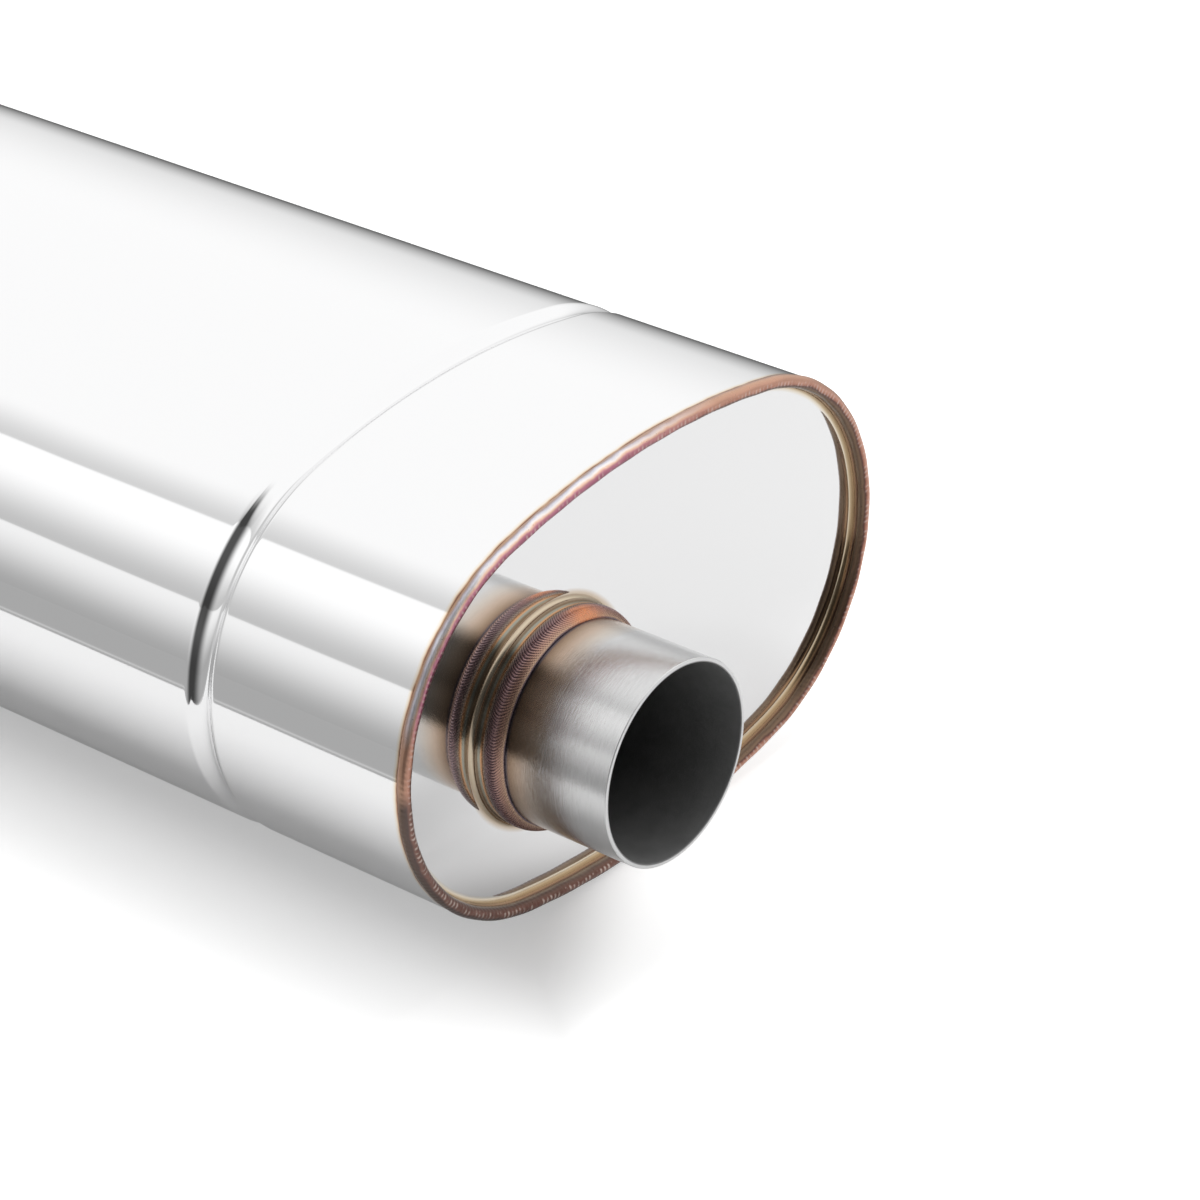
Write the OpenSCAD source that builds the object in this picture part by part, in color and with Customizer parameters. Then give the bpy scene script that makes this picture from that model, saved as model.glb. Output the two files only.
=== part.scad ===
// Straight-through absorption muffler with an oval body, in millimetres.
// The outlet end points along -Y and the inlet end along +Y. The long axis of the oval lies along X.
// The origin is on the surface that the muffler lies on, below the middle of the body.
// A rolled shell carries two rolled grooves. A pressed plate closes each end, edge-welded to the shell,
// and a pipe stub is welded to the neck that is drawn out of each plate. Inside, a perforated core
// joins the stubs, two pressed baffles hold it, and steel wool and glass packing fill the rest.

/* [Body] */
// Width of the body across the oval
body_w = 220; // [190:1:280]
// Height of the body
body_h = 138; // [112:1:160]
// Length of the body from rim to rim
body_len = 450; // [320:5:700]
// How far the radius of the narrow sides falls short of half the height
side_cut = 5; // [3:0.5:14]

/* [Shell] */
// Thickness of the rolled shell
shell_t = 1.5; // [1:0.1:2]
// Place of the long seam across the underside
seam_x = 30; // [-50:1:50]
// Width of the long seam's weld
seam_w = 3; // [2:0.5:6]

/* [Grooves] */
// Distance from each rim to the middle of its groove
groove_at = 79.5; // [70:0.5:125]
// Width of a groove
groove_w = 11.5; // [8:0.5:16]
// Depth of a groove
groove_d = 2; // [1:0.25:2.5]
// Bend radius on the inner face at the lips of a groove
groove_lip_r = 1.5; // [0.5:0.25:2.5]

/* [End plates] */
// Thickness of the pressed end plates
plate_t = 2; // [1.2:0.1:2.5]
// Depth of the end plate behind the rim
plate_recess = 5.5; // [5:0.5:16]
// Bend radius in the corner between the plate and its flange
plate_bend_r = 2; // [1:0.25:3]
// Clearance between the flange and the shell
plate_gap = 0.1; // [0.05:0.05:0.3]
// Height of the drawn neck above the plate
neck_h = 7.6; // [7:0.1:14]
// Radius where the neck rises out of the plate
neck_bend_r = 2; // [1:0.25:3]
// Clearance between the neck and the pipe
neck_gap = 0.4; // [0.1:0.05:0.6]

/* [Pipes] */
// Outer diameter of the pipe stubs
pipe_d = 63.5; // [45:0.5:76]
// Wall thickness of the pipe stubs
pipe_t = 1.5; // [1:0.1:2.5]
// Place of the pipes across the body
pipe_x = -42; // [-55:1:55]
// Place of the pipes above the middle of the body
pipe_z = -3.3; // [-10:0.1:10]
// How far a pipe stands out in front of the rim
pipe_out = 42; // [25:1:120]
// How far a pipe reaches in behind the end plate
pipe_in = 45; // [34:1:58]
// Broken edge of the pipe's cut ends
pipe_chamfer = 0.25; // [0.1:0.05:0.4]

/* [Welds] */
// Height of the rim weld above the edges of the shell and the flange
rim_weld_h = 1.4; // [1:0.1:2]
// How far the rim weld spills past the sheets on each side
rim_weld_spill = 0.3; // [0.1:0.05:0.5]
// Reach of the pipe weld along the pipe
pipe_weld_front = 3; // [2:0.25:5]
// Reach of the pipe weld along the neck
pipe_weld_back = 3.5; // [2:0.25:4]
// Radius of the pipe weld's rounded face
pipe_weld_r = 5; // [4.75:0.25:8]
// How deep the pipe weld is melted into the pipe's wall
pipe_weld_bite = 0.4; // [0.35:0.05:0.7]
// Leg of the fillet weld that fixes the core to the outlet stub
core_weld_leg = 1.4; // [0.8:0.1:1.4]

/* [Core] */
// Wall thickness of the perforated core
core_t = 1.2; // [1.2:0.1:2]
// Clearance between the core and the stub inside it
core_gap = 0.25; // [0.15:0.05:0.5]
// How far the core laps over each stub
core_lap = 22; // [12:1:30]
// Diameter of the holes in the core
hole_d = 7; // [3:0.5:8]
// Distance between rings of holes along the core
hole_pitch = 12; // [10:0.5:20]
// Number of holes in each ring
hole_count = 14; // [6:1:16]
// Plain length between the stub's end and the first ring of holes
core_plain = 10; // [6:1:30]

/* [Baffles] */
// Thickness of the pressed baffles
baffle_t = 1.5; // [1:0.1:2]
// Length of the baffle's flange
baffle_flange = 14; // [8:1:20]
// Bend radius of the baffle's corners
baffle_bend_r = 3; // [1:0.25:4]
// Clearance between the baffle's flange and the shell
baffle_gap = 0.25; // [0.1:0.05:0.5]
// Height of the baffle's collar, drawn the same way as its flange
collar_h = 11; // [7:0.5:18]
// Clearance between the collar and the core
collar_gap = 0.25; // [0.1:0.05:0.5]

/* [Packing] */
// Thickness of the steel wool around the core
wool_t = 6; // [5:0.5:12]
// Clearance around the wool and the packing
pack_gap = 0.3; // [0.2:0.05:0.6]

/* [Hidden] */

$fa = 3;
$fs = 0.6;

mirror_steel = [0.86, 0.87, 0.88];
brushed_steel = [0.68, 0.68, 0.69];
weld_copper = [0.66, 0.42, 0.36];
weld_dark = [0.40, 0.28, 0.27];
raw_steel = [0.58, 0.58, 0.60];
wool_grey = [0.50, 0.50, 0.52];
packing_cream = [0.90, 0.86, 0.66];

// To a thousandth of a millimetre, which is as fine as a length is written out
function fine(length) = round(1000 * length) / 1000;

// The oval is four arcs. The narrow sides turn about (+-side_x, 0) with side_r, and the
// broad top and bottom turn about (0, -+broad_y) with broad_r. They meet at join_a.
// The radii are fine lengths, and side_x is what makes such arcs run on from each other.
side_r = body_h / 2 - side_cut;
broad_r = fine(((body_w / 2 - side_r) ^ 2 + (body_h / 2) ^ 2 - side_r ^ 2) / (2 * side_cut));
broad_y = broad_r - body_h / 2;
side_x = sqrt((broad_r - side_r) ^ 2 - broad_y ^ 2);
join_a = atan2(broad_y, side_x);
// A point far out on the ray along which two neighbouring arcs meet
join_ray = [side_x, 0] + body_w * [cos(join_a), sin(join_a)];

// Places along the body's axis, measured from its middle towards the rim
rim_at = body_len / 2;
edge_at = rim_at - rim_weld_h;
plate_at = rim_at - plate_recess;
neck_lip_at = plate_at + neck_h;
weld_toe_at = neck_lip_at + pipe_weld_front;
mouth_at = rim_at + pipe_out;
stub_end_at = plate_at - pipe_in;
core_end_at = stub_end_at + core_lap;
groove_mid_at = rim_at - groove_at;
baffle_edge_at = groove_mid_at - groove_w / 2 - baffle_gap;
baffle_at = baffle_edge_at - baffle_flange;

// Section of the groove: two lips and a hollow between them, tangent where they meet.
// Its radius is a fine length, and the place of its middle is what keeps it tangent to the lips.
groove_r = fine((groove_w ^ 2 / 4 + groove_d ^ 2) / (2 * groove_d) - groove_lip_r - shell_t);
groove_hub_x = sqrt((groove_r + groove_lip_r + shell_t) ^ 2 - groove_w ^ 2 / 4) - groove_lip_r - shell_t;

pipe_r = pipe_d / 2;
neck_bore_r = pipe_r + neck_gap;
neck_r = neck_bore_r + plate_t;
core_bore_r = pipe_r + core_gap;
core_r = core_bore_r + core_t;
wool_bore_r = core_r + pack_gap;
wool_r = wool_bore_r + wool_t;
packing_bore_r = wool_r + pack_gap;

// Sheets side by side at the rim, and the bead that caps them
rim_sheets_t = shell_t + plate_gap + plate_t;
rim_weld_r = rim_sheets_t / 2 + rim_weld_spill;

// The muffler rests on its two rim welds
centre_z = body_h / 2 + rim_weld_spill;

// How far a cut runs past what it cuts
cut_past = 1;

module strip_ring(r, t) {
    // Ring of sheet in section, with r on its inner face
    difference() {
        circle(r + t);
        circle(r);
    }
}

module corner_bend(r, t) {
    // Quarter of that ring, right of and below its middle
    intersection() {
        strip_ring(r, t);
        translate([0, -r - t]) square(r + t);
    }
}

module move_x(length) {
    // In two steps, so that no part of the length is lost when it is written out
    translate([fine(length), 0]) translate([length - fine(length), 0]) children();
}

module oval(inset) {
    // Outline of the body, moved inwards by inset
    join_x = side_x + (side_r - inset) * cos(join_a);
    intersection() {
        translate([0, -broad_y]) circle(broad_r - inset);
        translate([0, broad_y]) circle(broad_r - inset);
        polygon([[join_x, body_h], [-join_x, body_h], [-join_x, -body_h], [join_x, -body_h]]);
    }
    for (side = [0, 1])
        mirror([side, 0])
            intersection() {
                move_x(side_x) circle(side_r - inset);
                polygon([[join_x, body_h], [join_x, -body_h], [body_w, -body_h], [body_w, body_h]]);
            }
}

module oval_plate(inset, from, to) {
    translate([0, 0, from]) linear_extrude(to - from) oval(inset);
}

module side_wedge() {
    // The part of the body on the right that the narrow side's arc serves
    linear_extrude(3 * body_len, center = true)
        polygon([[side_x, 0], join_ray, [join_ray.x + body_w, 0], [join_ray.x, -join_ray.y]]);
}

module broad_wedge() {
    // The part of the body at the top that the broad arc serves
    linear_extrude(3 * body_len, center = true)
        polygon([[side_x, 0], join_ray, [-join_ray.x, join_ray.y], [-side_x, 0]]);
}

module sweep_side() {
    // The section's x is the distance out from the shell's outer face
    intersection() {
        move_x(side_x) rotate_extrude() translate([side_r, 0]) children();
        side_wedge();
    }
}

module sweep_broad() {
    intersection() {
        translate([0, -broad_y, 0]) rotate_extrude() translate([broad_r, 0]) children();
        broad_wedge();
    }
}

module sweep_oval() {
    for (turn = [0, 180])
        rotate([0, 0, turn]) {
            sweep_side() children();
            sweep_broad() children();
        }
}

module on_pipe() translate([pipe_x, pipe_z, 0]) children();

module body_frame() translate([0, 0, centre_z]) rotate([90, 0, 0]) children();

module outlet_side() body_frame() children();

module inlet_side() body_frame() mirror([0, 0, 1]) children();

module tube(r_out, r_in, from, to) {
    translate([0, 0, from])
        difference() {
            cylinder(h = to - from, r = r_out);
            translate([0, 0, -cut_past]) cylinder(h = to - from + 2 * cut_past, r = r_in);
        }
}

module groove_section() {
    // Half of a rolled groove about its middle: a lip, and a hollow that runs on from it
    lip = [-shell_t - groove_lip_r, groove_w / 2];
    hub = [groove_hub_x, 0];
    intersection() {
        translate(lip) strip_ring(groove_lip_r, shell_t);
        polygon([lip, hub, [hub.x, lip.y]]);
    }
    intersection() {
        move_x(hub.x) strip_ring(groove_r, shell_t);
        polygon([hub, lip, [hub.x - 2 * (groove_r + shell_t), 0]]);
    }
}

module shell_section() {
    // The sheet along the body: flat runs and the two grooves rolled into it
    inner_run = groove_mid_at - groove_w / 2;
    outer_run = groove_mid_at + groove_w / 2;
    translate([-shell_t, -inner_run]) square([shell_t, 2 * inner_run]);
    for (end = [0, 1])
        mirror([0, end]) {
            translate([-shell_t, outer_run]) square([shell_t, edge_at - outer_run]);
            translate([0, groove_mid_at])
                for (half = [0, 1]) mirror([0, half]) groove_section();
        }
}

module seam_slot() {
    translate([seam_x, -body_h / 2, 0]) cube([seam_w, body_h / 2, 2 * body_len], center = true);
}

module shell() {
    color(mirror_steel)
        body_frame()
            difference() {
                sweep_oval() shell_section();
                seam_slot();
            }
}

module shell_seam_weld() {
    // Planished flush with the sheet, so it has the sheet's own section
    color(raw_steel)
        body_frame()
            intersection() {
                rotate([0, 0, 180]) sweep_broad() shell_section();
                seam_slot();
            }
}

module pressed_plate(inset, t, bend_r, rim, face, bore_r, neck_bend, lip) {
    // Oval plate with a flange and a drawn neck, both turned towards the rim.
    // inset: outside of the flange, rim: its edge, face: the plate's front, lip: the neck's edge
    corner = inset + t + bend_r;
    neck_corner_r = bore_r + t + neck_bend;
    sweep_oval() {
        translate([-inset - t, face + bend_r]) square([t, rim - face - bend_r]);
        translate([-corner, face + bend_r]) corner_bend(bend_r, t);
    }
    difference() {
        oval_plate(corner, face - t, face);
        on_pipe() translate([0, 0, face - t - cut_past])
            cylinder(h = t + 2 * cut_past, r = neck_corner_r);
    }
    on_pipe() rotate_extrude() {
        translate([neck_corner_r, face + neck_bend]) mirror([1, 0]) corner_bend(neck_bend, t);
        translate([bore_r, face + neck_bend]) square([t, lip - face - neck_bend]);
    }
}

module end_plate() {
    color(mirror_steel)
        pressed_plate(shell_t + plate_gap, plate_t, plate_bend_r, edge_at, plate_at,
            neck_bore_r, neck_bend_r, neck_lip_at);
}

module rim_weld() {
    // Round bead over the edges of the shell and the flange
    color(weld_copper)
        sweep_oval()
            difference() {
                translate([-rim_sheets_t / 2, rim_at - rim_weld_r]) circle(rim_weld_r);
                translate([-rim_sheets_t, edge_at - 2 * rim_weld_r])
                    square([rim_sheets_t, 2 * rim_weld_r]);
            }
}

module pipe_stub() {
    // Its wall has the shallow bed that the pipe weld has melted into it
    bed_r = pipe_r - pipe_weld_bite;
    color(brushed_steel)
        on_pipe() rotate_extrude()
            polygon([
                [pipe_r - pipe_t, stub_end_at], [pipe_r, stub_end_at],
                [pipe_r, neck_lip_at], [bed_r, neck_lip_at], [bed_r, weld_toe_at], [pipe_r, weld_toe_at],
                [pipe_r, mouth_at - pipe_chamfer], [pipe_r - pipe_chamfer, mouth_at],
                [pipe_r - pipe_t + pipe_chamfer, mouth_at], [pipe_r - pipe_t, mouth_at - pipe_chamfer]
            ]);
}

module pipe_weld() {
    // Lap weld between the lip of the neck and the pipe. Its face is an arc between two toes
    toe_front = [pipe_r, weld_toe_at];
    toe_back = [neck_r, neck_lip_at - pipe_weld_back];
    chord = toe_front - toe_back;
    span = norm(chord);
    sink = sqrt(pipe_weld_r ^ 2 - (span / 2) ^ 2);
    arc_middle = (toe_front + toe_back) / 2 - sink * [chord.y, -chord.x] / span;
    size = 4 * pipe_weld_r;
    color(weld_dark)
        on_pipe() rotate_extrude() {
            difference() {
                translate(arc_middle) circle(pipe_weld_r);
                translate([pipe_r - size, neck_lip_at - size / 2]) square([size, size]);
                translate([neck_r - size, neck_lip_at - size]) square([size, size]);
            }
            translate([pipe_r - pipe_weld_bite, neck_lip_at]) square([pipe_weld_bite, pipe_weld_front]);
        }
}

module core_tube() {
    // Rings of holes, each ring turned by half a step from the one before
    first = stub_end_at - core_plain;
    rings = floor(2 * first / hole_pitch);
    step = 360 / hole_count;
    color(raw_steel)
        body_frame() on_pipe()
            difference() {
                tube(core_r, core_bore_r, -core_end_at, core_end_at);
                for (ring = [0 : rings], hole = [1 : hole_count])
                    rotate([0, 0, (hole + (ring % 2) / 2) * step])
                        translate([core_bore_r / 2, 0, (ring - rings / 2) * hole_pitch])
                            rotate([0, 90, 0]) cylinder(h = core_r, r = hole_d / 2, $fn = 24);
            }
}

module core_weld() {
    // Small fillet between the end of the core and the outlet stub. The inlet end slides as it heats
    color(weld_dark)
        outlet_side() on_pipe() rotate_extrude()
            polygon([
                [pipe_r, core_end_at], [pipe_r + core_weld_leg, core_end_at],
                [pipe_r, core_end_at + core_weld_leg]
            ]);
}

module baffle() {
    // Its flange butts against the groove, so it can't slide outwards
    color(raw_steel)
        pressed_plate(shell_t + baffle_gap, baffle_t, baffle_bend_r, baffle_edge_at, baffle_at,
            core_r + collar_gap, baffle_bend_r, baffle_at + collar_h);
}

module steel_wool(from, to) {
    color(wool_grey) on_pipe() tube(wool_r, wool_bore_r, from, to);
}

module end_wool() {
    steel_wool(baffle_at + collar_h + pack_gap, plate_at - plate_t - pack_gap);
}

module packing(inset, from, to) {
    difference() {
        oval_plate(inset, from, to);
        on_pipe() translate([0, 0, from - cut_past])
            cylinder(h = to - from + 2 * cut_past, r = packing_bore_r);
    }
}

module end_packing() {
    // Drawn in beside the baffle's flange and the groove
    waist_inset = max(shell_t + groove_d + pack_gap, shell_t + baffle_gap + baffle_t + baffle_bend_r);
    waist_to = groove_mid_at + groove_w / 2 + pack_gap;
    color(packing_cream) {
        packing(waist_inset, baffle_at + pack_gap, waist_to);
        packing(shell_t + pack_gap, waist_to, plate_at - plate_t - pack_gap);
    }
}

module outlet_end_plate() outlet_side() end_plate();
module outlet_rim_weld() outlet_side() rim_weld();
module outlet_pipe() outlet_side() pipe_stub();
module outlet_pipe_weld() outlet_side() pipe_weld();
module outlet_baffle() outlet_side() baffle();
module outlet_steel_wool() outlet_side() end_wool();
module outlet_packing() outlet_side() end_packing();

module inlet_end_plate() inlet_side() end_plate();
module inlet_rim_weld() inlet_side() rim_weld();
module inlet_pipe() inlet_side() pipe_stub();
module inlet_pipe_weld() inlet_side() pipe_weld();
module inlet_baffle() inlet_side() baffle();
module inlet_steel_wool() inlet_side() end_wool();
module inlet_packing() inlet_side() end_packing();

// Half the length between the baffles, less the clearance
centre_room = baffle_at - baffle_t - pack_gap;

module centre_steel_wool() outlet_side() steel_wool(-centre_room, centre_room);

module centre_packing() {
    color(packing_cream) outlet_side() packing(shell_t + pack_gap, -centre_room, centre_room);
}

shell();
shell_seam_weld();
outlet_end_plate();
outlet_rim_weld();
outlet_pipe();
outlet_pipe_weld();
inlet_end_plate();
inlet_rim_weld();
inlet_pipe();
inlet_pipe_weld();
core_tube();
core_weld();
outlet_baffle();
inlet_baffle();
outlet_steel_wool();
centre_steel_wool();
inlet_steel_wool();
outlet_packing();
centre_packing();
inlet_packing();
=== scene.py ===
import math

import bmesh
import bpy
import numpy as np
from mathutils import Matrix, Vector


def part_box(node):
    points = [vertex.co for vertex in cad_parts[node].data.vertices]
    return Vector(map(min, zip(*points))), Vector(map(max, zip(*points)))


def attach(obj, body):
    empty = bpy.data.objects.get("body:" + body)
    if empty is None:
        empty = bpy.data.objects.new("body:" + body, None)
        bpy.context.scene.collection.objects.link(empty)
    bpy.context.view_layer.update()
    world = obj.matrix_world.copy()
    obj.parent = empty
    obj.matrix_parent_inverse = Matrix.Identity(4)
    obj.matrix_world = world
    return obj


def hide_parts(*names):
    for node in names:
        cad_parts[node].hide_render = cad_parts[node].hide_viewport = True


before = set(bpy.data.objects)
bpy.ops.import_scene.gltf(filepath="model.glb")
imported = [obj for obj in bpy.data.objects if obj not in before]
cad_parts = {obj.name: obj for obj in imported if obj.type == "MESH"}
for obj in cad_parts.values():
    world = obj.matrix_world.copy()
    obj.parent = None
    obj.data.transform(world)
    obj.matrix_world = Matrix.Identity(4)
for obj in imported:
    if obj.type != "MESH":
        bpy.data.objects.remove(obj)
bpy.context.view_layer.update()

# Shell. One sheet of stainless steel, rolled into an oval and polished to a mirror. A groove
# rolled into it near each end stops the baffle from sliding. Its edges lie under the rim welds.
MM = 0.001
shell_low, shell_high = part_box("shell")
body_w = shell_high.x - shell_low.x
body_h = shell_high.z - shell_low.z
body_middle = (shell_low.z + shell_high.z) / 2
side_cut = 5 * MM
side_r = body_h / 2 - side_cut
side_x = body_w / 2 - side_r
broad_r = (side_x ** 2 + (body_h / 2) ** 2 - side_r ** 2) / (body_h - 2 * side_r)
broad_y = broad_r - body_h / 2
join_turn = math.atan2(broad_y, side_x)
shell_t = 1.5 * MM
shell_step = 1.5 * MM

rim_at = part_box("inlet_rim_weld")[1].y
sheet_edge_at = shell_high.y
groove_from_rim = 79.5 * MM
groove_at = rim_at - groove_from_rim
groove_w = 11.5 * MM
groove_d = 2 * MM
groove_lip_r = 1.5 * MM
groove_turn = 2 * math.atan(2 * groove_d / groove_w)
groove_r = groove_w / 2 / math.sin(groove_turn) - groove_lip_r - shell_t


def oval_stations(step):
    """Stations round the body: the middle of each one's arc, the arc's radius and the way out."""
    stations = []
    for arc_x, arc_z, radius, facing, half in (
            (side_x, 0, side_r, 0, join_turn),
            (0, -broad_y, broad_r, math.pi / 2, math.pi / 2 - join_turn),
            (-side_x, 0, side_r, math.pi, join_turn),
            (0, broad_y, broad_r, 3 * math.pi / 2, math.pi / 2 - join_turn)):
        count = round(2 * half * radius / step)
        for k in range(count):
            turn = facing + half * (2 * k / count - 1)
            stations.append((arc_x, arc_z, radius, math.cos(turn), math.sin(turn)))
    return np.array(stations).T


def oval_loop(stations, inset, y):
    """Loop of points round the body, set in from the shell's outer face."""
    arc_x, arc_z, radius, out_x, out_z = stations
    reach = radius - inset
    return np.stack([arc_x + reach * out_x, np.broadcast_to(y, arc_x.shape),
                     body_middle + arc_z + reach * out_z], axis=1)


def sheet_metal(name, loops, marks=None):
    """Closed mesh of quads from each loop of points to the next. Marks are numbers on its points."""
    count = len(loops[0])
    here = np.arange(count)
    ahead = (here + 1) % count
    quads = []
    for k in range(len(loops)):
        this, following = k * count, (k + 1) % len(loops) * count
        quads.append(np.stack([this + here, this + ahead, following + ahead, following + here], 1))
    mesh = bpy.data.meshes.new(name)
    mesh.from_pydata(np.concatenate(loops).tolist(), [], np.concatenate(quads).tolist())
    work = bmesh.new()
    work.from_mesh(mesh)
    bmesh.ops.recalc_face_normals(work, faces=work.faces)
    work.to_mesh(mesh)
    work.free()
    mesh.shade_smooth()
    for mark, values in (marks or {}).items():
        layer = mesh.attributes.new(mark, "FLOAT", "POINT")
        spread = np.broadcast_to(values, (len(loops), count))
        layer.data.foreach_set("value", spread.astype(np.float32).ravel())
    piece = bpy.data.objects.new(name, mesh)
    bpy.context.scene.collection.objects.link(piece)
    return piece


def groove_line(face, steps):
    """Half of a groove's section from its middle to the flat sheet, at a depth in the sheet."""
    hollow_r = groove_r + face
    lip_r = groove_lip_r + shell_t - face
    turns = [groove_turn * k / steps for k in range(steps + 1)]
    hollow = [(hollow_r * math.cos(a) - groove_r + groove_d, hollow_r * math.sin(a)) for a in turns]
    lip = [(groove_lip_r + shell_t - lip_r * math.cos(a), groove_w / 2 - lip_r * math.sin(a))
           for a in reversed(turns[:-1])]
    return hollow + lip


def shell_line(face, steps):
    """Section of one face of the shell from rim to rim, as insets and places along the body."""
    half = groove_line(face, steps)
    groove = [(inset, -y) for inset, y in reversed(half[1:])] + half
    support = 0.4 * MM
    flat = groove_w / 2 + support
    near = [(face, groove_at - flat)] + [(inset, groove_at + y) for inset, y in groove]
    near += [(face, groove_at + flat), (face, sheet_edge_at - support), (face, sheet_edge_at)]
    return [(inset, -y) for inset, y in reversed(near)] + [(face, 0)] + near


around_body = oval_stations(shell_step)
outer_face = shell_line(0, steps=12)
inner_face = shell_line(shell_t, steps=5)
shell_skin = sheet_metal("shell_skin", [oval_loop(around_body, inset, y)
                                        for inset, y in outer_face + inner_face[::-1]])


class Wire:
    """A socket in a node tree. Sums on wires add Math nodes, and node() adds any other node."""

    def __init__(self, tree, socket=None):
        self.tree = tree
        self.socket = socket

    def node(self, kind, settings=None, sockets=None, out=0):
        made = self.tree.nodes.new(kind)
        for name, value in (settings or {}).items():
            if name == "stops":
                ramp = made.color_ramp.elements
                while len(ramp) < len(value):
                    ramp.new(1)
                for element, (place, colour) in zip(ramp, value):
                    element.position = place
                    element.color = (*colour, 1)
            else:
                setattr(made, name, value)
        for name, value in (sockets or {}).items():
            if isinstance(value, Wire):
                self.tree.links.new(value.socket, made.inputs[name])
            else:
                made.inputs[name].default_value = value
        return Wire(self.tree, made.outputs[out] if made.outputs else None)

    def maths(self, operation, *values):
        return self.node("ShaderNodeMath", {"operation": operation}, dict(enumerate(values)))

    def __add__(self, other):
        return self.maths("ADD", self, other)

    def __radd__(self, other):
        return self.maths("ADD", other, self)

    def __sub__(self, other):
        return self.maths("SUBTRACT", self, other)

    def __rsub__(self, other):
        return self.maths("SUBTRACT", other, self)

    def __mul__(self, other):
        return self.maths("MULTIPLY", self, other)

    def __rmul__(self, other):
        return self.maths("MULTIPLY", other, self)

    def __truediv__(self, other):
        return self.maths("DIVIDE", self, other)

    def __gt__(self, other):
        return self.maths("GREATER_THAN", self, other)

    def __abs__(self):
        return self.maths("ABSOLUTE", self)

    def smooth(self, low, high):
        """0 below low, 1 above high and a soft step between them. High may be the lower one."""
        flip = low > high
        return self.node("ShaderNodeMapRange", {"interpolation_type": "SMOOTHSTEP"}, {
            "Value": self, "From Min": min(low, high), "From Max": max(low, high),
            "To Min": 1.0 if flip else 0.0, "To Max": 0.0 if flip else 1.0})

    def tint(self, below, above):
        """Colour that goes from one to the other as this wire goes from 0 to 1."""
        def rgba(colour):
            return colour if isinstance(colour, Wire) else (*colour, 1)
        return self.node("ShaderNodeMix", {"data_type": "RGBA"},
                         {"Factor": self, 6: rgba(below), 7: rgba(above)}, out=2)

    def ramp(self, *stops):
        """Colour from a list of places from 0 to 1 with their colours."""
        return self.node("ShaderNodeValToRGB", {"stops": stops}, {"Fac": self})


def new_finish(name):
    """New material, the wire that its nodes start from and its object coordinates in metres."""
    material = bpy.data.materials.new(name)
    material.use_nodes = True
    tree = material.node_tree
    tree.nodes.clear()
    start = Wire(tree)
    place = start.node("ShaderNodeTexCoord", out="Object")
    return material, start, place


def finish_off(material, start, settings, bump):
    """Metal shader with these sockets. Bump is a height and the most that it stands out."""
    height, reach = bump
    relief = start.node("ShaderNodeBump", {}, {"Height": height, "Distance": reach})
    shader = start.node("ShaderNodeBsdfPrincipled", {}, {"Metallic": 1.0, "Normal": relief, **settings})
    start.node("ShaderNodeOutputMaterial", {}, {"Surface": shader})
    return material


def axes(place):
    """The three coordinates of a place, as wires."""
    return tuple(place.node("ShaderNodeSeparateXYZ", {}, {"Vector": place}, out=k) for k in range(3))


def noise(place, cells, detail=2.0, stretch=(1, 1, 1)):
    """Noise from 0 to 1 over the object, with so many cells in a metre. Stretch lengthens them."""
    spread = place.node("ShaderNodeMapping", {}, {"Vector": place, "Scale": [1 / s for s in stretch]})
    return place.node("ShaderNodeTexNoise", {}, {"Vector": spread, "Scale": cells, "Detail": detail})


MIRROR = (0.905, 0.905, 0.908)
STRAW = (0.88, 0.80, 0.68)
ORANGE = (0.62, 0.42, 0.28)
MAROON = (0.26, 0.14, 0.10)
weld_toe_from_rim = 3.2 * MM
shell_tint_reach = 2.2 * MM


def polished_shell():
    material, start, place = new_finish("polished_shell")
    _, y, _ = axes(place)
    from_toe = rim_at - weld_toe_from_rim - abs(y)
    wander = noise(place, 130) - 0.5
    heat = from_toe / shell_tint_reach + wander * 0.5
    sheen = noise(place, 35, detail=3.0)
    return finish_off(material, start, {
        "Base Color": heat.ramp((0.0, MAROON), (0.12, ORANGE), (0.35, STRAW), (0.75, MIRROR)),
        "Roughness": 0.035 + 0.025 * sheen,
    }, bump=(noise(place, 9, detail=1.0), 0.5 * MM))


def dress(piece, material, node):
    """A piece takes its finish, rides on the body and stands for its CAD node."""
    piece.data.materials.clear()
    piece.data.materials.append(material)
    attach(piece, "root")
    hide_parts(node)


dress(shell_skin, polished_shell(), "shell")

# Long seam. The butt weld that closes the rolled sheet runs along the underside. It is planished
# flush and brushed, so that only a dull band with a trace of heat shows.


def redress(node, material):
    """A CAD node keeps its shape and takes a finish."""
    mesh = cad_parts[node].data
    mesh.materials.clear()
    mesh.materials.append(material)


def planished_seam():
    material, start, place = new_finish("planished_seam")
    strokes = noise(place, 900, stretch=(1, 40, 1))
    patches = noise(place, 60)
    return finish_off(material, start, {
        "Base Color": patches.tint((0.60, 0.56, 0.50), (0.78, 0.76, 0.73)),
        "Roughness": 0.25 + 0.2 * strokes,
    }, bump=(strokes, 0.02 * MM))


redress("shell_seam_weld", planished_seam())

# End plates. Each is a pan pressed from 2 mm sheet: a flange that lies inside the shell, a flat
# mirror face a little behind the rim, and a neck drawn outwards round the pipe.
plate_t = 2 * MM
plate_gap = 0.1 * MM
plate_recess = 5.5 * MM
plate_bend_r = 2 * MM
plate_inset = shell_t + plate_gap
plate_at = rim_at - plate_recess
flange_corner = plate_inset + plate_t + plate_bend_r
flange_band = 14 * MM

pipe_x = -42 * MM
pipe_z = body_middle - 3.3 * MM
pipe_r = 31.75 * MM
neck_gap = 0.4 * MM
neck_bore_r = pipe_r + neck_gap
neck_r = neck_bore_r + plate_t
neck_bend_r = 2 * MM
neck_foot_r = neck_r + neck_bend_r
neck_lip_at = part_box("inlet_end_plate")[1].y


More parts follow.
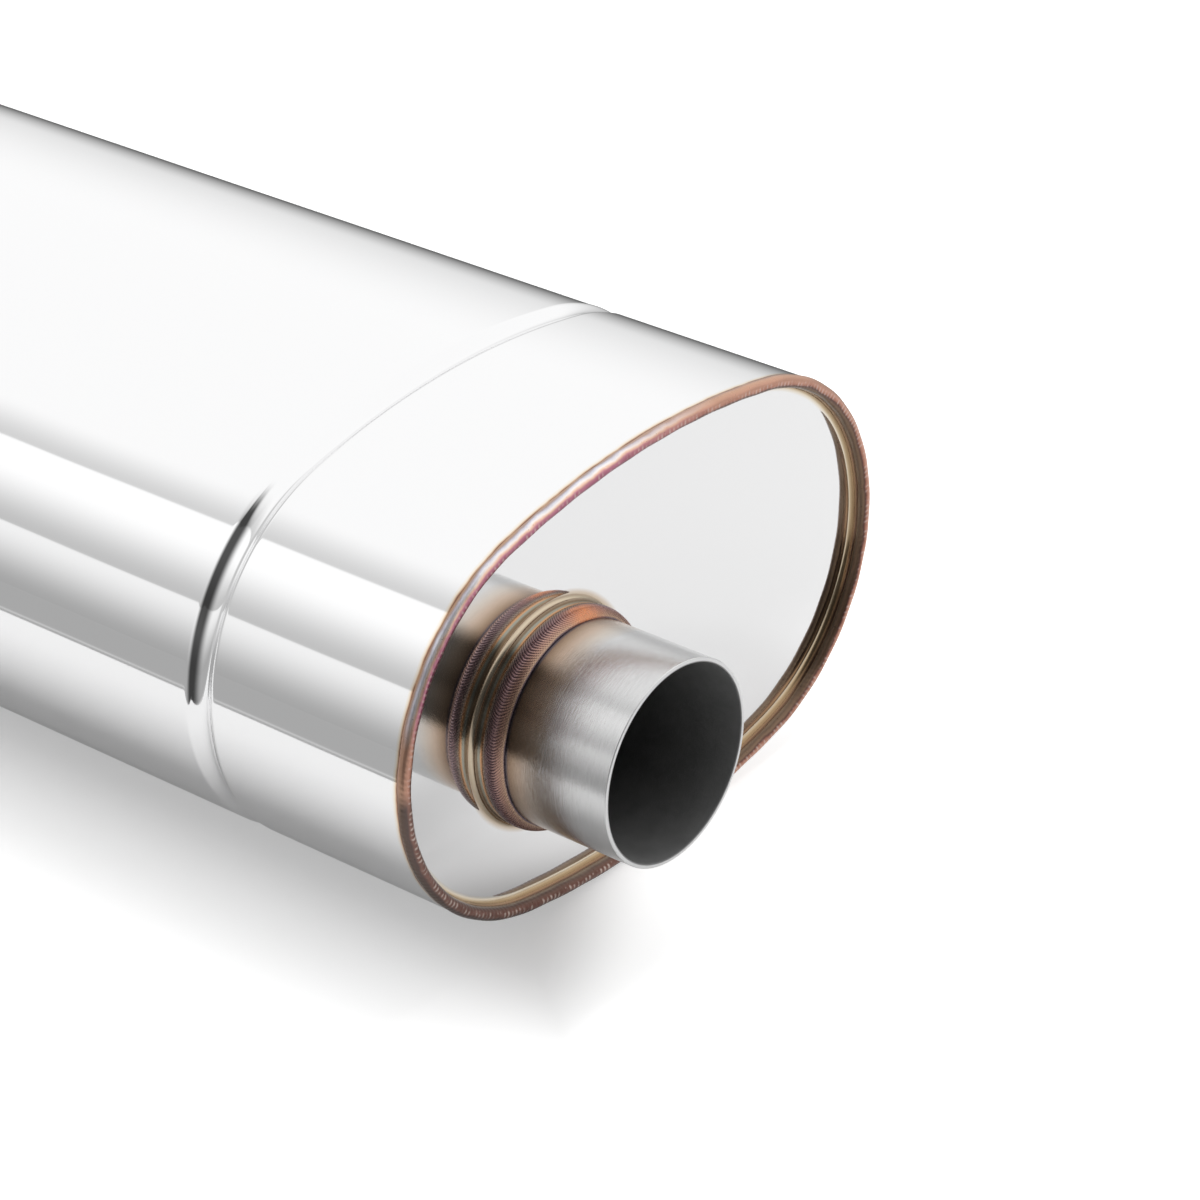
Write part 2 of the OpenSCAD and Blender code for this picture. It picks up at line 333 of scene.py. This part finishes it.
def round_loop(bearings, radius, y):
    """Loop of points round the pipe's axis, at the bearings given."""
    return np.stack([pipe_x + radius * np.cos(bearings), np.broadcast_to(y, bearings.shape),
                     pipe_z + radius * np.sin(bearings)], axis=1)


def bend(middle, radius, from_deg, to_deg, steps):
    """Points of an arc in a section, as pairs of places across and along the body's axis."""
    turns = [math.radians(from_deg + (to_deg - from_deg) * k / steps) for k in range(steps + 1)]
    return [(middle[0] + radius * math.cos(a), middle[1] + radius * math.sin(a)) for a in turns]


def end_plate_skin(name, facing):
    """Loops run from the flange's edge down its outside, across the back, round the neck and back."""
    support = 0.3 * MM
    corner_middle = (flange_corner, plate_at + plate_bend_r)
    back = [(plate_inset, sheet_edge_at)] + bend(corner_middle, plate_bend_r + plate_t, 180, 270, 6)
    front = [(flange_corner + flange_band, plate_at), (flange_corner + support, plate_at)]
    front += bend(corner_middle, plate_bend_r, 270, 180, 10)
    front += [(plate_inset + plate_t, sheet_edge_at - support), (plate_inset + plate_t, sheet_edge_at)]
    foot_middle = (neck_foot_r, plate_at + neck_bend_r)
    neck = bend(foot_middle, neck_bend_r + plate_t, 270, 180, 6)
    neck += [(neck_bore_r, neck_lip_at - support), (neck_bore_r, neck_lip_at)]
    neck += [(neck_r, neck_lip_at), (neck_r, neck_lip_at - support)]
    neck += bend(foot_middle, neck_bend_r, 180, 270, 14) + [(neck_foot_r + support, plate_at)]
    edge = oval_loop(around_body, flange_corner, 0)
    bearings = np.arctan2(edge[:, 2] - pipe_z, edge[:, 0] - pipe_x)
    loops = [oval_loop(around_body, inset, facing * y) for inset, y in back]
    loops += [round_loop(bearings, radius, facing * y) for radius, y in neck]
    loops += [oval_loop(around_body, inset, facing * y) for inset, y in front]
    return sheet_metal(name, loops)


def hypot(a, b):
    """Length of a step a across and b along, as a wire."""
    square = a * a + b * b
    return square.maths("SQRT", square)


def oval_inset(x, z):
    """How far inside the shell's outer face a place lies, as a wire."""
    wide, tall = abs(x), abs(z - body_middle)
    side_inset = side_r - hypot(wide - side_x, tall)
    broad_inset = broad_r - hypot(wide, tall + broad_y)
    on_side = (wide - side_x) * (broad_y / side_x) > tall
    return broad_inset + on_side * (side_inset - broad_inset)


rim_tint_reach = 6 * MM
neck_tint_reach = 12 * MM


def heat_tinted_plate():
    """Mirror steel, browned near the rim weld and the pipe weld, as thin rings of colour. On the neck
    some of the rings are painted reflection and painted highlight.
    """
    material, start, place = new_finish("heat_tinted_plate")
    x, y, z = axes(place)
    along = abs(y)
    wander = noise(place, 90) - 0.5
    from_rim = (oval_inset(x, z) - plate_inset - plate_t) + (rim_at - along - weld_toe_from_rim)
    rim_heat = from_rim / rim_tint_reach + wander * 0.06
    rim_colour = rim_heat.ramp(
        (0.0, (0.16, 0.09, 0.06)), (0.12, (0.34, 0.21, 0.12)), (0.34, (0.36, 0.25, 0.14)),
        (0.50, (0.54, 0.42, 0.28)), (0.62, (0.80, 0.71, 0.57)), (0.80, MIRROR))
    from_axis = hypot(x - pipe_x, z - pipe_z)
    from_lip = (from_axis - neck_r) + (neck_lip_at - along)
    neck_heat_and_light = from_lip / neck_tint_reach + wander * 0.03
    # On the neck the ramp is heat colour near the weld. Its dark band from 0.44 to 0.54 is painted
    # reflection of the dark room on the neck's wall, and its cream line at 0.62 is a painted highlight.
    neck_tint_and_painted_light = neck_heat_and_light.ramp(
        (0.28, (0.50, 0.24, 0.12)), (0.33, (0.62, 0.36, 0.19)), (0.36, (0.36, 0.35, 0.29)),
        (0.40, (0.38, 0.38, 0.32)), (0.44, (0.26, 0.20, 0.14)), (0.54, (0.36, 0.27, 0.19)),
        (0.62, (0.66, 0.56, 0.42)), (0.72, (0.56, 0.45, 0.33)), (0.80, (0.70, 0.60, 0.50)),
        (0.91, MIRROR))
    near_neck = from_axis.smooth(neck_foot_r + 3 * MM, neck_foot_r + 2 * MM)
    on_neck = from_axis.smooth(neck_foot_r - 0.2 * MM, neck_foot_r - 0.8 * MM)
    on_flange = from_rim.smooth(3.6 * MM, 2.6 * MM)
    brushed = noise(place, 1400, stretch=(1, 12, 1))
    return finish_off(material, start, {
        "Base Color": near_neck.tint(rim_colour, neck_tint_and_painted_light),
        "Roughness": 0.045 + (on_neck + on_flange) * (0.11 + 0.10 * brushed) + 0.02 * noise(place, 40),
    }, bump=(noise(place, 11, detail=1.0), 0.3 * MM))


plate_finish = heat_tinted_plate()
ENDS = (("outlet", -1), ("inlet", 1))
for end, facing in ENDS:
    dress(end_plate_skin(end + "_plate_skin", facing), plate_finish, end + "_end_plate")

# Rim welds. A bead melts the edges of the shell and the flange together all the way round. It keeps its
# heat colours: one run is smooth and bright, with bands of pink and blue-grey along it, one is dark
# brown, and the rest is copper on the shell's side and brown on the flange's. The near-white band on the
# bright run is a painted highlight, and pale glints on the ripple tops are painted highlights too.
bead_inset = (shell_t + plate_gap + plate_t) / 2
bead_spill = 0.3 * MM
bead_r = bead_inset + bead_spill
bead_step = 0.28 * MM
bead_sweep = 145
bead_rows = 25
visible_turn = 121
rim_ripple = 1.8 * MM
rim_ripple_depth = 0.09 * MM
rim_ripple_trail = 1.1 * MM
rim_wave = 0.05 * MM
rim_waves = 37
bright_run = (88, 158)
brown_run = (177, 272)


def ripple(travel, pitch):
    """Height from 0 to 1 of weld ripples: round backs with sharp valleys between them."""
    return np.abs(np.sin(math.pi * travel / pitch)) ** 0.7


def arc_travel(points):
    """How far along a closed loop each of its points lies, and the loop's whole length."""
    steps = np.linalg.norm(np.roll(points, -1, axis=0) - points, axis=1)
    return np.concatenate([[0], np.cumsum(steps)[:-1]]), steps.sum()


def swell(bearing, run, soft):
    """1 inside a run round the body, in degrees, and 0 outside it, over a soft stretch at its ends."""
    return (np.clip((bearing - run[0]) / soft + 0.5, 0, 1)
            * np.clip((run[1] - bearing) / soft + 0.5, 0, 1))


def rim_bead(name, facing):
    """Rows run over the bead from the flange's side to the shell's."""
    fine = oval_stations(bead_step)
    travel, length = arc_travel(oval_loop(fine, bead_inset, 0))
    ring = 2 * math.pi * travel / length
    ring_r = length / 2 / math.pi
    pitch = length / round(length / rim_ripple)
    bearing = np.degrees(np.arctan2(fine[4], fine[3])) % 360
    bright = swell(bearing, bright_run, soft=10)
    brown = swell(bearing, brown_run, soft=5)
    depth = rim_ripple_depth * (0.6 + 0.5 * brown - 0.5 * bright)
    turns = np.linspace(-bead_sweep, bead_sweep, bead_rows)
    loops, crests = [], []
    for turn in np.radians(turns):
        crest = ripple(travel + rim_ripple_trail * np.sin(turn) ** 2, pitch)
        sag = depth * (1 - crest) * np.cos(turn / 2)
        wave = rim_wave * (1 + np.sin(ring * rim_waves + 3 * np.sin(turn)))
        reach = bead_r - sag - wave
        loops.append(oval_loop(fine, bead_inset - reach * math.sin(turn),
                               facing * (rim_at - bead_r + reach * math.cos(turn))))
        crests.append(crest)
    return sheet_metal(name, loops, {
        "across": (0.5 + turns / visible_turn / 2)[:, None], "crest": np.array(crests),
        "bright": bright, "brown": brown,
        "ring_x": ring_r * np.cos(ring), "ring_z": ring_r * np.sin(ring)})


def marked(start, mark):
    """Number that the points of a bead carry under this name."""
    return start.node("ShaderNodeAttribute", {"attribute_name": mark}, out="Fac")


def bead_streaks(start, cells, width):
    """Noise laid along a bead: cells in a metre of its length, and in its width."""
    spot = start.node("ShaderNodeCombineXYZ", {}, {
        "X": marked(start, "ring_x") * cells, "Y": marked(start, "across") * width,
        "Z": marked(start, "ring_z") * cells})
    return start.node("ShaderNodeTexNoise", {}, {"Vector": spot, "Scale": 1.0, "Detail": 3.0})


def copper_bead():
    """Bands of heat colour from the flange's side, at 0, to the shell's side, at 1, with a painted white
    highlight on the bright run and painted glints on the ripple tops.
    """
    material, start, place = new_finish("copper_bead")
    across = marked(start, "across") + 0.22 * (bead_streaks(start, cells=160, width=1.5) - 0.5)
    copper = across.ramp(
        (0.05, (0.26, 0.18, 0.12)), (0.18, (0.18, 0.12, 0.08)), (0.30, (0.22, 0.14, 0.09)),
        (0.38, (0.12, 0.06, 0.05)), (0.45, (0.44, 0.20, 0.14)), (0.56, (0.62, 0.33, 0.24)),
        (0.80, (0.54, 0.32, 0.22)), (0.95, (0.42, 0.25, 0.18)))
    # The near-white band at 0.72 is a painted highlight on the bead's outer flank. The bright run's
    # other bands are heat colour.
    bright = across.ramp(
        (0.05, (0.66, 0.50, 0.36)), (0.14, (0.74, 0.60, 0.46)), (0.20, (0.26, 0.09, 0.08)),
        (0.34, (0.24, 0.09, 0.12)), (0.48, (0.40, 0.13, 0.20)), (0.58, (0.62, 0.24, 0.32)),
        (0.66, (0.92, 0.62, 0.46)), (0.72, (0.95, 0.88, 0.84)), (0.80, (0.62, 0.62, 0.70)),
        (0.88, (0.36, 0.28, 0.27)), (0.97, (0.46, 0.27, 0.15)))
    brown = across.ramp(
        (0.05, (0.28, 0.21, 0.15)), (0.22, (0.14, 0.09, 0.07)), (0.40, (0.17, 0.08, 0.06)),
        (0.55, (0.29, 0.16, 0.13)), (0.66, (0.14, 0.10, 0.09)), (0.85, (0.13, 0.09, 0.07)),
        (0.97, (0.22, 0.14, 0.10)))
    runs = marked(start, "brown").tint(marked(start, "bright").tint(copper, bright), brown)
    middle = across.smooth(0.34, 0.44) * across.smooth(0.62, 0.52)
    patches = bead_streaks(start, cells=420, width=3.0).smooth(0.42, 0.58)
    # The ripple tops in the middle of the bead are painted paler, in patches, as glints of highlight.
    crest_glints = marked(start, "crest").smooth(0.72, 0.98) * middle * patches
    fine = noise(place, 1500)
    return finish_off(material, start, {
        "Base Color": (crest_glints * (0.45 + 0.30 * marked(start, "brown"))).tint(runs, (0.78, 0.64, 0.57)),
        "Metallic": 0.72,
        "Roughness": 0.24 + 0.12 * fine,
    }, bump=(fine, 0.012 * MM))


rim_bead_finish = copper_bead()
for end, facing in ENDS:
    dress(rim_bead(end + "_rim_bead", facing), rim_bead_finish, end + "_rim_weld")

# Pipe stubs. Cut from welded stainless tube and brushed round it, with a deburred mouth. The weld's heat
# has left brown and straw on the steel next to it, and the bore is dull and dark. A thin near-black line
# right at the bead's toe is painted shade in that crease.
pipe_t = 1.5 * MM
stub_end_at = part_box("inlet_pipe")[0].y
mouth_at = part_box("inlet_pipe")[1].y
mouth_round = 0.3 * MM
weld_overlap = 3 * MM
weld_front_at = neck_lip_at + weld_overlap
weld_bite = 0.4 * MM
pipe_points = 288
pipe_tint_reach = 20 * MM


def pipe_skin(name, facing):
    """Loops run along the outside from the stub's inner end, round the mouth and back in the bore."""
    bore_r = pipe_r - pipe_t
    bed_r = pipe_r - weld_bite
    support = 0.3 * MM
    round_at = mouth_at - mouth_round
    section = [(bore_r, stub_end_at), (pipe_r, stub_end_at), (pipe_r, neck_lip_at), (bed_r, neck_lip_at),
               (bed_r, weld_front_at), (pipe_r, weld_front_at), (pipe_r, weld_front_at + support),
               (pipe_r, round_at - support)]
    section += bend((pipe_r - mouth_round, round_at), mouth_round, 0, 90, 4)
    section += bend((bore_r + mouth_round, round_at), mouth_round, 90, 180, 4)
    section += [(bore_r, round_at - support)]
    bearings = np.linspace(0, 2 * math.pi, pipe_points, endpoint=False)
    return sheet_metal(name, [round_loop(bearings, radius, facing * y) for radius, y in section])


def brushed_tube():
    material, start, place = new_finish("brushed_tube")
    x, y, z = axes(place)
    from_axis = hypot(x - pipe_x, z - pipe_z)
    in_bore = from_axis.smooth(pipe_r - 0.9 * MM, pipe_r - 1.3 * MM)
    ahead = abs(y) - weld_front_at
    stub_length = mouth_at - weld_front_at
    at_mouth = ahead.smooth(stub_length - 0.35 * MM, stub_length - 0.15 * MM)
    wander = noise(place, 60, detail=3.0) - 0.5
    heat = ahead / pipe_tint_reach + (0.02 + 0.30 * ahead / pipe_tint_reach) * wander
    # The first stops, near black within a fraction of a millimetre of the toe, are painted shade in the
    # crease at the bead's toe. The rest of the ramp is heat colour.
    tint = heat.ramp(
        (0.0, (0.09, 0.08, 0.11)), (0.03, (0.12, 0.10, 0.11)), (0.06, (0.30, 0.20, 0.14)),
        (0.14, (0.43, 0.31, 0.22)), (0.28, (0.60, 0.47, 0.37)), (0.46, (0.68, 0.61, 0.54)),
        (0.68, (0.69, 0.69, 0.69)))
    strokes = noise(place, 4500, stretch=(20, 1, 20))
    specks = noise(place, 2600)
    outside = at_mouth.tint((0.84 + 0.26 * strokes).tint((0, 0, 0), tint), (0.78, 0.78, 0.78))
    charcoal = noise(place, 120, detail=4.0).tint((0.16, 0.16, 0.16), (0.27, 0.27, 0.27))
    return finish_off(material, start, {
        "Base Color": in_bore.tint(outside, charcoal),
        "Metallic": 1 - 0.85 * in_bore,
        "Roughness": 0.18 + 0.06 * strokes + 0.20 * at_mouth + 0.36 * in_bore,
    }, bump=(strokes * 0.75 + specks * 0.25, 0.035 * MM))


tube_finish = brushed_tube()
for end, facing in ENDS:
    dress(pipe_skin(end + "_pipe_skin", facing), tube_finish, end + "_pipe")

# Pipe welds. A lap bead joins the neck's lip to the pipe. Its ripples are pointed arcs that follow each
# other round the pipe, dark purple in the hollows, copper on the pipe's side and orange where the welder
# stopped. Its heat colour is purple-brown: the near-black hollows are painted shade, the lighter copper
# ripple tops are painted highlight, and a dark line at its toe on the pipe is painted shade in that
# crease.
weld_back = 3.5 * MM
weld_face_r = 5 * MM
pipe_ripple = 0.95 * MM
pipe_ripple_depth = 0.21 * MM
pipe_ripple_trail = 3.4 * MM
pipe_ripple_points = 8
pipe_stop = 76
pipe_stop_spread = 11


def pipe_bead(name, facing):
    """Rows run over the bead's round face from its toe on the neck to its toe on the pipe."""
    toe_front = np.array([pipe_r, weld_front_at])
    toe_back = np.array([neck_r, neck_lip_at - weld_back])
    chord = toe_front - toe_back
    span = np.linalg.norm(chord)
    sink = math.sqrt(weld_face_r ** 2 - (span / 2) ** 2)
    middle = (toe_front + toe_back) / 2 - sink * np.array([chord[1], -chord[0]]) / span
    from_turn, to_turn = (math.atan2(*(toe - middle)[::-1]) for toe in (toe_back, toe_front))
    ripples = round(2 * math.pi * neck_r / pipe_ripple)
    pitch = 2 * math.pi * neck_r / ripples
    bearings = np.linspace(0, 2 * math.pi, pipe_ripple_points * ripples, endpoint=False)
    uneven = 0.10 * MM * np.sin(bearings * 23) + 0.06 * MM * np.sin(bearings * 61 + 1)
    no_crest = 0 * bearings
    loops = [round_loop(bearings, pipe_r - weld_bite, facing * neck_lip_at),
             round_loop(bearings, neck_bore_r, facing * (neck_lip_at - weld_back))]
    crests = [no_crest, no_crest]
    rows = 20
    for row in range(rows + 1):
        across = 2 * row / rows - 1
        turn = from_turn + (to_turn - from_turn) * row / rows
        trail = pipe_ripple_trail * (across ** 2 + 0.04) ** 0.65
        crest = ripple(bearings * neck_r + trail + uneven, pitch)
        reach = weld_face_r - pipe_ripple_depth * (1 - crest) * (1 - across ** 4)
        loops.append(round_loop(bearings, middle[0] + reach * math.cos(turn),
                                facing * (middle[1] + reach * math.sin(turn))))
        crests.append(crest)
    loops.append(round_loop(bearings, pipe_r - weld_bite, facing * weld_front_at))
    crests.append(no_crest)
    places = np.array([0, 0, *np.linspace(0, 1, rows + 1), 1])
    from_stop = (np.degrees(bearings) - pipe_stop + 180) % 360 - 180
    return sheet_metal(name, loops, {
        "across": places[:, None], "crest": np.array(crests),
        "stop": np.exp(-(from_stop / pipe_stop_spread) ** 2),
        "ring_x": neck_r * np.cos(bearings), "ring_z": neck_r * np.sin(bearings)})


def brown_bead():
    """Bands of heat colour from the neck's side, at 0, to the pipe's side, at 1, with painted highlight
    on the ripple tops and painted shade in the hollows and at the toe on the pipe.
    """
    material, start, place = new_finish("brown_bead")
    across = marked(start, "across") + 0.10 * (bead_streaks(start, cells=120, width=1.5) - 0.5)
    # The hollows are painted near black as shade, the tops are painted lighter and copper towards the
    # pipe as highlight, and the dark last stop at 0.97 is painted shade at the toe on the pipe.
    hollows = across.ramp(
        (0.0, (0.52, 0.27, 0.13)), (0.07, (0.26, 0.20, 0.17)), (0.16, (0.08, 0.05, 0.05)),
        (0.30, (0.09, 0.05, 0.06)), (0.60, (0.08, 0.04, 0.05)), (0.84, (0.13, 0.06, 0.05)),
        (0.92, (0.38, 0.24, 0.16)), (0.97, (0.12, 0.09, 0.11)))
    tops = across.ramp(
        (0.0, (0.56, 0.30, 0.15)), (0.10, (0.34, 0.27, 0.22)), (0.20, (0.24, 0.16, 0.15)),
        (0.45, (0.36, 0.23, 0.24)), (0.72, (0.58, 0.34, 0.26)), (0.92, (0.60, 0.40, 0.28)),
        (0.97, (0.14, 0.10, 0.12)))
    body = marked(start, "crest").smooth(0.42, 0.92).tint(hollows, tops)
    flicker = 0.5 + bead_streaks(start, cells=500, width=4.0)
    hot = marked(start, "stop") * across.smooth(0.10, 0.35) * flicker
    fine = noise(place, 1800)
    return finish_off(material, start, {
        "Base Color": (0.8 * hot).tint(body, (0.80, 0.30, 0.13)),
        "Metallic": 0.7,
        "Roughness": 0.20 + 0.14 * fine,
    }, bump=(fine, 0.015 * MM))


brown_bead_finish = brown_bead()
for end, facing in ENDS:
    dress(pipe_bead(end + "_pipe_bead", facing), brown_bead_finish, end + "_pipe_weld")

# Core. A perforated tube of mill-finish steel joins the two stubs inside the body. A small fillet
# weld fixes it to the outlet stub, and the other end slides as it heats.


def mill_finish(name, light, dark, rough):
    material, start, place = new_finish(name)
    streaks = noise(place, 300, detail=3.0, stretch=(1, 8, 1))
    return finish_off(material, start, {
        "Base Color": streaks.tint(dark, light),
        "Roughness": rough + 0.15 * streaks,
    }, bump=(streaks, 0.03 * MM))


inner_steel = mill_finish("inner_steel", light=(0.56, 0.56, 0.57), dark=(0.40, 0.40, 0.41), rough=0.30)
core_bead = mill_finish("core_bead", light=(0.42, 0.27, 0.20), dark=(0.26, 0.16, 0.14), rough=0.32)
redress("core_tube", inner_steel)
redress("core_weld", core_bead)

# Baffles. Two plates pressed from the same steel, with a flange and a collar, hold the core in the
# middle of its room and keep the packing from moving along the body.
redress("outlet_baffle", inner_steel)
redress("inlet_baffle", inner_steel)

# Steel wool. A sleeve of it is wound round the core in each room, so that the gas can't pull
# the glass fibres out through the holes.
ROOMS = ("outlet", "centre", "inlet")


def wound_wool():
    material, start, place = new_finish("wound_wool")
    strands = noise(place, 900, detail=4.0, stretch=(1, 5, 1))
    crossing = noise(place, 1400, detail=3.0, stretch=(4, 1, 4))
    lay = strands * 0.6 + crossing * 0.4
    return finish_off(material, start, {
        "Base Color": lay.ramp((0.35, (0.08, 0.08, 0.08)), (0.65, (0.52, 0.52, 0.52))),
        "Roughness": 0.45 + 0.2 * lay,
    }, bump=(lay, 0.8 * MM))


wool_finish = wound_wool()
for room in ROOMS:
    redress(room + "_steel_wool", wool_finish)

# Packing. Needled glass fibre in pale cream fills each room between the wool and the shell. It is
# cut to the room and pushed in before the end plates go on.


def glass_fibre():
    material, start, place = new_finish("glass_fibre")
    fibres = noise(place, 500, detail=5.0, stretch=(1, 3, 1))
    lumps = noise(place, 60, detail=3.0)
    lay = fibres * 0.6 + lumps * 0.4
    return finish_off(material, start, {
        "Metallic": 0.0,
        "Base Color": lay.ramp((0.35, (0.66, 0.58, 0.34)), (0.65, (0.90, 0.86, 0.68))),
        "Roughness": 0.75 + 0.2 * fibres,
    }, bump=(lay, 1.2 * MM))


fibre_finish = glass_fibre()
for room in ROOMS:
    redress(room + "_packing", fibre_finish)

# Table. A white sheet of card lies under the muffler, which mirrors it, and more white floor round it
# shows to the camera alone. Both keep the shadow, and only what the camera and the metal see of them is
# lifted towards white. The lift is uneven and partly painted light: stronger beside and ahead of the
# muffler, where it pales and narrows the shadow.
card_left, card_right, card_end = -0.262, 0.34, 0.45
floor_reach = 6.0
paper_grey = 0.62


def table_paper():
    material, start, place = new_finish("table_paper")
    x, y, _ = axes(place)
    # Beside the muffler and ahead of its outlet end the camera's lift is raised. This is painted light
    # that pales and narrows the shadow there. What the metal mirrors is lifted more just off the end and
    # less farther in front.
    beside = x.smooth(-70 * MM, -110 * MM)
    ahead = (0.6 * (x + 60 * MM) - (y + rim_at)).smooth(2 * MM, 40 * MM)
    beside_painted_light = 0.22 * beside
    painted_light = beside_painted_light.maths("MAXIMUM", beside_painted_light, 0.32 * ahead)
    in_front = y.smooth(-rim_at, -rim_at - 50 * MM)
    near_end = ahead * y.smooth(-290 * MM, -255 * MM) * x.smooth(110 * MM, 50 * MM)
    seen = start.node("ShaderNodeLightPath", out="Is Camera Ray")
    mirrored = start.node("ShaderNodeLightPath", out="Is Glossy Ray")
    paper = start.node("ShaderNodeBsdfDiffuse", {}, {"Color": (paper_grey, paper_grey, paper_grey, 1)})
    even_and_painted_lift = start.node("ShaderNodeEmission", {}, {
        "Color": (1, 1, 1, 1),
        "Strength": (0.34 + painted_light) * seen + (0.10 - 0.09 * in_front + 0.29 * near_end) * mirrored})
    start.node("ShaderNodeOutputMaterial", {}, {
        "Surface": start.node("ShaderNodeAddShader", {}, {0: paper, 1: even_and_painted_lift})})
    return material


def corners(left, right, end):
    """Corners of a rectangle on the table, which reaches as far to both ends."""
    return [(left, -end, 0), (right, -end, 0), (right, end, 0), (left, end, 0)]


def stage_sheet(name, points, faces, material):
    """Flat sheet for the picture alone, which isn't part of the muffler."""
    mesh = bpy.data.meshes.new(name)
    mesh.from_pydata(points, [], faces)
    mesh.materials.append(material)
    sheet = bpy.data.objects.new(name, mesh)
    bpy.context.scene.collection.objects.link(sheet)
    return sheet


paper = table_paper()
card = corners(card_left, card_right, card_end)
outer = corners(-floor_reach, floor_reach, floor_reach)
stage_sheet("table_card", card, [(0, 1, 2, 3)], paper)
floor = stage_sheet("table_floor", card + outer,
                    [(k, 4 + k, 4 + (k + 1) % 4, (k + 1) % 4) for k in range(4)], paper)
floor.visible_glossy = False

# Studio. A wide light hangs overhead and two softboxes hang along the body on its left, each crisp
# at its upper edge and fading downwards, with a dimmer wall below them. The camera's end of the
# room is dark on the left. Angles turn about the body: 0 is right, 90 is up and 180 is left.
upper_softbox = {"upper": 112.5, "lower": 157, "bright": 1.12, "dim": 0.58, "hold": 0.30}
lower_softbox = {"upper": 157, "lower": 190, "bright": 0.98, "dim": 0.42, "hold": 0.0}
softbox_edge = 0.6
wall_top, wall_foot = 190, 205
wall_level, ground_level = 0.43, 0.42


def studio_light(world):
    world.use_nodes = True
    tree = world.node_tree
    tree.nodes.clear()
    start = Wire(tree)
    x, y, z = axes(start.node("ShaderNodeTexCoord", out="Generated"))
    angle = start.maths("WRAP", start.maths("ARCTAN2", z, x) * (180 / math.pi), -90, 270)

    def softbox(upper, lower, bright, dim, hold):
        """Light from its upper edge down to its lower one, even for a share of its width."""
        inside = (angle.smooth(upper - softbox_edge, upper + softbox_edge)
                  * angle.smooth(lower + softbox_edge, lower - softbox_edge))
        fade = angle.smooth(upper + hold * (lower - upper), lower)
        return inside * (bright + (dim - bright) * fade)

    def zone(light, mask, level):
        """Light with this level where the mask is 1."""
        return light + mask * (level - light)

    overhead = angle.smooth(-36, 28) * (1.06 - 0.36 * angle.smooth(90, 114)) * angle.smooth(113, 112)
    wall = angle.smooth(wall_top - 0.5, wall_top + 0.5) * angle.smooth(wall_foot + 1, wall_foot)
    ground = angle.smooth(wall_foot - 1, wall_foot + 1)
    studio = overhead + softbox(**upper_softbox) + softbox(**lower_softbox)
    studio = studio + wall_level * wall + ground_level * ground
    studio = zone(studio, y.smooth(0.80, 0.92), 0.60)
    dark_end = y.smooth(0.40, -0.34) * x.smooth(0.12, -0.22) * z.smooth(0.99, 0.90)
    studio = studio * (1 - dark_end * (0.88 + 0.04 * z.smooth(0.10, 0.35)))
    right_front = y.smooth(-0.05, -0.35) * x.smooth(0.0, 0.25) * z.smooth(0.20, 0.0)
    studio = zone(studio, right_front, 0.70)
    table_ahead = y.smooth(0.40, 0.10) * z.smooth(-0.12, -0.42) * x.smooth(-0.80, -0.50)
    studio = zone(studio, table_ahead, 0.90)
    seen = start.node("ShaderNodeLightPath", out="Is Camera Ray")
    light = start.node("ShaderNodeBackground", {}, {
        "Color": (1, 1, 1, 1), "Strength": zone(studio, seen, 1)})
    start.node("ShaderNodeOutputWorld", {}, {"Surface": light})


scene = bpy.context.scene
scene.world = scene.world or bpy.data.worlds.new("studio")
studio_light(scene.world)
scene.view_settings.view_transform = "Standard"

# Key light. A large lamp above, behind and to the right lays the shadow on the table in front of
# the muffler. The metal doesn't mirror it.
key_place = Vector((0.50, 0.30, 1.70))
key_data = bpy.data.lights.new("key_light", "AREA")
key_data.shape = "DISK"
key_data.size = 1.6
key_data.energy = 30
key_light = bpy.data.objects.new("key_light", key_data)
key_light.location = key_place
key_light.rotation_euler = key_place.to_track_quat("Z", "Y").to_euler()
key_light.visible_glossy = False
scene.collection.objects.link(key_light)

# Camera. It stands to the left of the outlet end and in front of it, above the muffler, and looks
# down along the body.
camera_place = (-0.80972, -0.89690, 0.71583)
camera_azimuth = math.radians(-49.50)
camera_elevation = math.radians(30.92)
camera_roll = math.radians(-2.41)


def camera_axes(azimuth, elevation, roll):
    """Ways to the camera's right, up and back."""
    right = np.array([math.cos(azimuth), math.sin(azimuth), 0])
    back = np.array([math.sin(azimuth) * math.cos(elevation), -math.cos(azimuth) * math.cos(elevation),
                     math.sin(elevation)])
    up = np.cross(back, right)
    return (math.cos(roll) * right + math.sin(roll) * up,
            -math.sin(roll) * right + math.cos(roll) * up, back)


camera_data = bpy.data.cameras.new("camera")
camera_data.sensor_width = 36
camera_data.lens = 125.34
camera_data.clip_start = 0.05
camera = bpy.data.objects.new("camera", camera_data)
scene.collection.objects.link(camera)
columns = [*camera_axes(camera_azimuth, camera_elevation, camera_roll), camera_place]
camera.matrix_world = Matrix([[column[row] for column in columns] for row in range(3)]
                             + [[0, 0, 0, 1]])
scene.camera = camera
